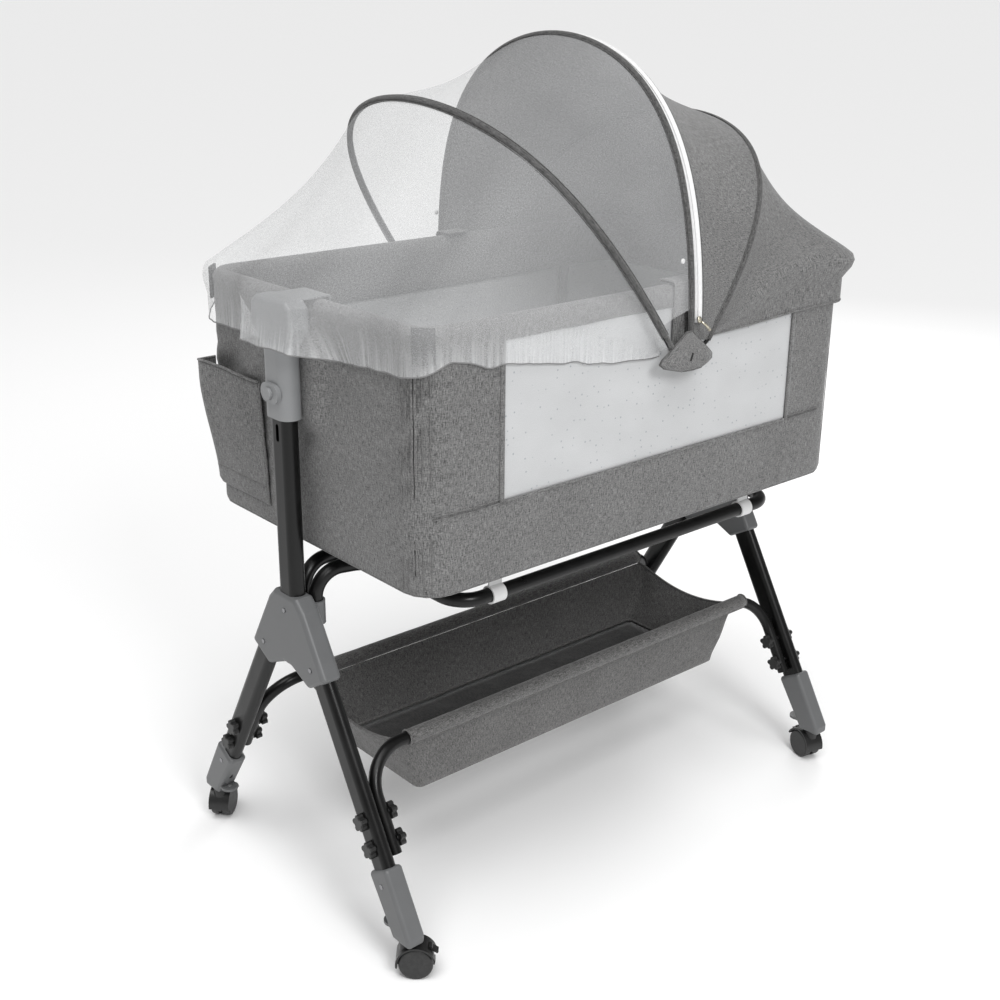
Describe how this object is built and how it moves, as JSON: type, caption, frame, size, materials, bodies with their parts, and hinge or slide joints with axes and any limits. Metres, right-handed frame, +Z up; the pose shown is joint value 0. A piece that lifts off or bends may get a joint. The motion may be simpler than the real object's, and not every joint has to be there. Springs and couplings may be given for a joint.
{
  "type": "bassinet on stand",
  "caption": "Fabric bassinet with a see-through side, folding hooded canopy and insect net, on a height-adjustable A-frame stand with a storage basket and braked castors.",
  "frame": {"origin": "on the floor, under the middle of the stand", "axes": "+Z up, +X along the bassinet towards the canopy end, +Y across it towards the back"},
  "size_m": [0.92, 0.5648, 1.193],
  "materials": {
    "tube_black": "satin black powder coat",
    "steel": "zinc plated",
    "plastic_hub": "mid grey moulded",
    "plastic_head": "light grey moulded",
    "plastic_black": "black moulded",
    "rubber_black": "castor tread",
    "fabric_grey": "heathered linen-look polyester",
    "fabric_window": "fine white mesh with small dots",
    "fabric_net": "fine white insect net",
    "fabric_mattress": "soft grey cover",
    "strap": "light grey hook and loop tape",
    "board": "stiff liner board"
  },
  "bodies": {
    "stand": {"upright_near": "tube_black", "hub_near": "plastic_hub", "upright_far": "tube_black", "hub_far": "plastic_hub", "leg_near_front": "tube_black", "foot_near_front": "plastic_hub", "leg_near_back": "tube_black", "foot_near_back": "plastic_hub", "leg_far_front": "tube_black", "foot_far_front": "plastic_hub", "leg_far_back": "tube_black", "foot_far_back": "plastic_hub", "support_rail_front": "tube_black", "support_rail_back": "tube_black", "basket_rail_front": "tube_black", "basket_rail_back": "tube_black", "star_knobs_outer": "plastic_black", "star_knobs_inner": "plastic_black", "knob_bolts": "steel", "snap_buttons": "steel", "foot_screws": "steel", "rail_straps": "strap", "basket": "fabric_grey", "basket_board": "board"},
    "tub": {"head_near": "plastic_head", "head_far": "plastic_head", "head_brackets": "plastic_black", "tub_shell": "fabric_grey", "tub_board": "board", "mattress": "fabric_mattress", "top_frame": "tube_black", "front_window": "fabric_window", "back_window": "fabric_window", "end_pocket": "fabric_grey", "corner_latches": "plastic_black", "canopy_clips": "plastic_black"},
    "button_near": {"head_button_near": "plastic_head"},
    "button_far": {"head_button_far": "plastic_head"},
    "rear_hoop": {"hoop_rear": "tube_black", "canopy_fabric_rear": "fabric_grey"},
    "main_hoop": {"hoop_main": "tube_black", "canopy_fabric_front": "fabric_grey"},
    "net_hoop": {"hoop_net": "tube_black", "insect_net": "fabric_net"},
    "castor_near_front": {"castor_hood_near_front": "plastic_black", "castor_stem_near_front": "steel"},
    "wheels_near_front": {"castor_wheels_near_front": "rubber_black"},
    "brake_near_front": {"castor_brake_near_front": "plastic_black"},
    "castor_near_back": {"castor_hood_near_back": "plastic_black", "castor_stem_near_back": "steel"},
    "wheels_near_back": {"castor_wheels_near_back": "rubber_black"},
    "brake_near_back": {"castor_brake_near_back": "plastic_black"},
    "castor_far_front": {"castor_hood_far_front": "plastic_black", "castor_stem_far_front": "steel"},
    "wheels_far_front": {"castor_wheels_far_front": "rubber_black"},
    "brake_far_front": {"castor_brake_far_front": "plastic_black"},
    "castor_far_back": {"castor_hood_far_back": "plastic_black", "castor_stem_far_back": "steel"},
    "wheels_far_back": {"castor_wheels_far_back": "rubber_black"},
    "brake_far_back": {"castor_brake_far_back": "plastic_black"}
  },
  "joints": [
    {"name": "height_slide", "type": "slide", "parent": "stand", "child": "tub", "axis": [0, 0, 1], "range_m": [0, 0.1]},
    {"name": "button_near_press", "type": "slide", "parent": "tub", "child": "button_near", "axis": [1, 0, 0], "range_m": [0, 0.004], "stiffness_N_per_m": 300},
    {"name": "button_far_press", "type": "slide", "parent": "tub", "child": "button_far", "axis": [-1, 0, 0], "range_m": [0, 0.004], "stiffness_N_per_m": 300},
    {"name": "rear_hoop_tip", "type": "hinge", "parent": "tub", "child": "rear_hoop", "pos_m": [0.038, 0, 0.785], "axis": [0, 1, 0], "range_deg": [0, 3.1], "deforming": ["canopy_fabric_rear"]},
    {"name": "canopy_fold", "type": "hinge", "parent": "rear_hoop", "child": "main_hoop", "pos_m": [0.038, 0, 0.785], "axis": [0, 1, 0], "range_deg": [0, 38], "deforming": ["canopy_fabric_front"]},
    {"name": "net_hoop_fold", "type": "hinge", "parent": "main_hoop", "child": "net_hoop", "pos_m": [0.038, 0, 0.785], "axis": [0, 1, 0], "range_deg": [0, 32], "deforming": ["insect_net"]},
    {"name": "swivel_near_front", "type": "hinge", "parent": "stand", "child": "castor_near_front", "pos_m": [-0.434, -0.245, 0.054], "axis": [0, 0, 1], "continuous": true},
    {"name": "roll_near_front", "type": "hinge", "parent": "castor_near_front", "child": "wheels_near_front", "pos_m": [-0.42494, -0.25287, 0.0235], "axis": [0.6561, 0.7547, 0], "continuous": true},
    {"name": "brake_near_front_press", "type": "hinge", "parent": "castor_near_front", "child": "brake_near_front", "pos_m": [-0.41037, -0.26554, 0.0435], "axis": [0.6561, 0.7547, 0], "range_deg": [0, 12]},
    {"name": "swivel_near_back", "type": "hinge", "parent": "stand", "child": "castor_near_back", "pos_m": [-0.434, 0.245, 0.054], "axis": [0, 0, 1], "continuous": true},
    {"name": "roll_near_back", "type": "hinge", "parent": "castor_near_back", "child": "wheels_near_back", "pos_m": [-0.42494, 0.25287, 0.0235], "axis": [-0.6561, 0.7547, 0], "continuous": true},
    {"name": "brake_near_back_press", "type": "hinge", "parent": "castor_near_back", "child": "brake_near_back", "pos_m": [-0.41037, 0.26554, 0.0435], "axis": [-0.6561, 0.7547, 0], "range_deg": [0, 12]},
    {"name": "swivel_far_front", "type": "hinge", "parent": "stand", "child": "castor_far_front", "pos_m": [0.434, -0.245, 0.054], "axis": [0, 0, 1], "continuous": true},
    {"name": "roll_far_front", "type": "hinge", "parent": "castor_far_front", "child": "wheels_far_front", "pos_m": [0.43711, -0.23341, 0.0235], "axis": [-0.9659, 0.2588, 0], "continuous": true},
    {"name": "brake_far_front_press", "type": "hinge", "parent": "castor_far_front", "child": "brake_far_front", "pos_m": [0.4421, -0.21476, 0.0435], "axis": [-0.9659, 0.2588, 0], "range_deg": [0, 12]},
    {"name": "swivel_far_back", "type": "hinge", "parent": "stand", "child": "castor_far_back", "pos_m": [0.434, 0.245, 0.054], "axis": [0, 0, 1], "continuous": true},
    {"name": "roll_far_back", "type": "hinge", "parent": "castor_far_back", "child": "wheels_far_back", "pos_m": [0.43711, 0.23341, 0.0235], "axis": [0.9659, 0.2588, 0], "continuous": true},
    {"name": "brake_far_back_press", "type": "hinge", "parent": "castor_far_back", "child": "brake_far_back", "pos_m": [0.4421, 0.21476, 0.0435], "axis": [0.9659, 0.2588, 0], "range_deg": [0, 12]}
  ],
  "couplings": [
    {"joint": "rear_hoop_tip", "follows": "canopy_fold", "ratio": 0.08},
    {"joint": "net_hoop_fold", "follows": "canopy_fold", "ratio": 0.84}
  ]
}
